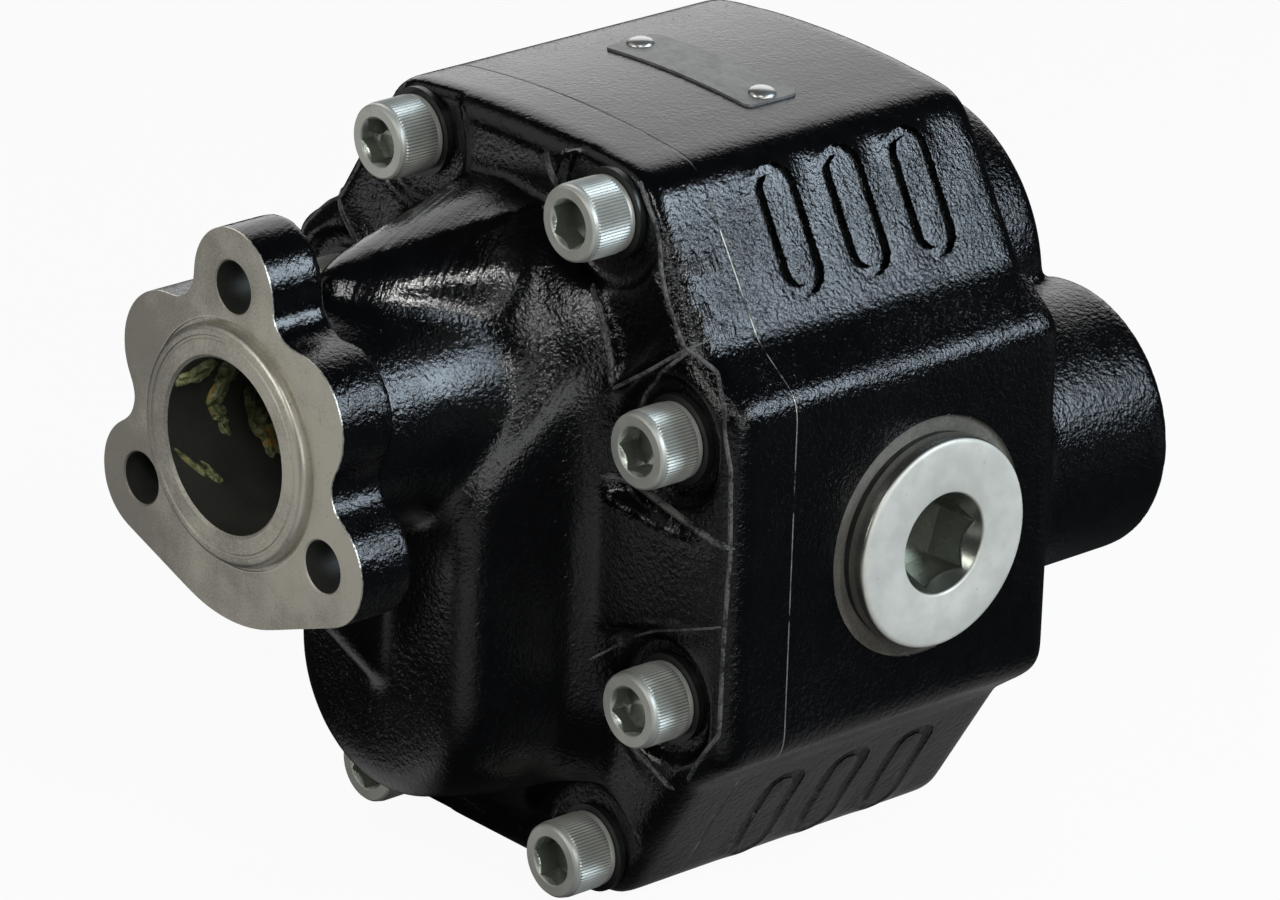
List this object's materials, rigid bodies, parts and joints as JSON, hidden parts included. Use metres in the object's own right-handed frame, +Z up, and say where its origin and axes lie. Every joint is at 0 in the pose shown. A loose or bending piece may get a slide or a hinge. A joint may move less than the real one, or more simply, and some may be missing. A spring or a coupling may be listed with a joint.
{
  "type": "hydraulic gear pump",
  "caption": "External gear pump with a cast case, a bolted front cover with a lobed round flange, a splined drive socket, plugged side ports and threaded rear ports.",
  "frame": {"origin": "centre of the spigot in the plane of the flange's mounting face, on the drive gear's axis", "axes": "the flange faces -Y, +X is the side whose port plug the picture shows, +Z is up and the driven gear lies below the drive gear"},
  "size_m": [0.1658, 0.2185, 0.179],
  "materials": {
    "cover_enamel": "gloss black enamel over cast iron, machined bare on the flange face",
    "body_enamel": "gloss black enamel over cast iron",
    "gear_steel": "ground and case hardened",
    "bush_metal": "bored bearing metal",
    "plate_alloy": "machined",
    "seal_rubber": "moulded nitrile",
    "spring_steel": "oiled",
    "screw_zinc": "zinc plated",
    "washer_zinc": "zinc plated",
    "plug_zinc": "bright zinc plated",
    "nameplate_metal": "satin, bare"
  },
  "bodies": {
    "pump_case": {"front_cover": "cover_enamel", "pump_body": "body_enamel", "front_drive_bush": "bush_metal", "front_driven_bush": "bush_metal", "rear_drive_bush": "bush_metal", "rear_driven_bush": "bush_metal", "front_wear_plate": "plate_alloy", "rear_wear_plate": "plate_alloy", "front_plate_seal": "seal_rubber", "rear_plate_seal": "seal_rubber", "housing_seal": "seal_rubber", "outer_shaft_seal": "seal_rubber", "inner_shaft_seal": "seal_rubber", "seal_circlip": "spring_steel", "cover_screws": "screw_zinc", "screw_washers": "washer_zinc", "dowel_pins": "spring_steel", "right_port_plug": "plug_zinc", "left_port_plug": "plug_zinc", "right_plug_seal": "seal_rubber", "left_plug_seal": "seal_rubber", "nameplate": "nameplate_metal", "nameplate_screws": "screw_zinc"},
    "drive_gear": {"drive_gear": "gear_steel"},
    "driven_gear": {"driven_gear": "gear_steel"}
  },
  "joints": [
    {"name": "drive_spin", "type": "hinge", "parent": "pump_case", "child": "drive_gear", "pos_m": [0, 0.134, 0], "axis": [0, 1, 0], "continuous": true},
    {"name": "driven_spin", "type": "hinge", "parent": "pump_case", "child": "driven_gear", "pos_m": [0, 0.134, -0.0615], "axis": [0, 1, 0], "continuous": true}
  ],
  "couplings": [
    {"joint": "driven_spin", "follows": "drive_spin", "ratio": -1}
  ]
}
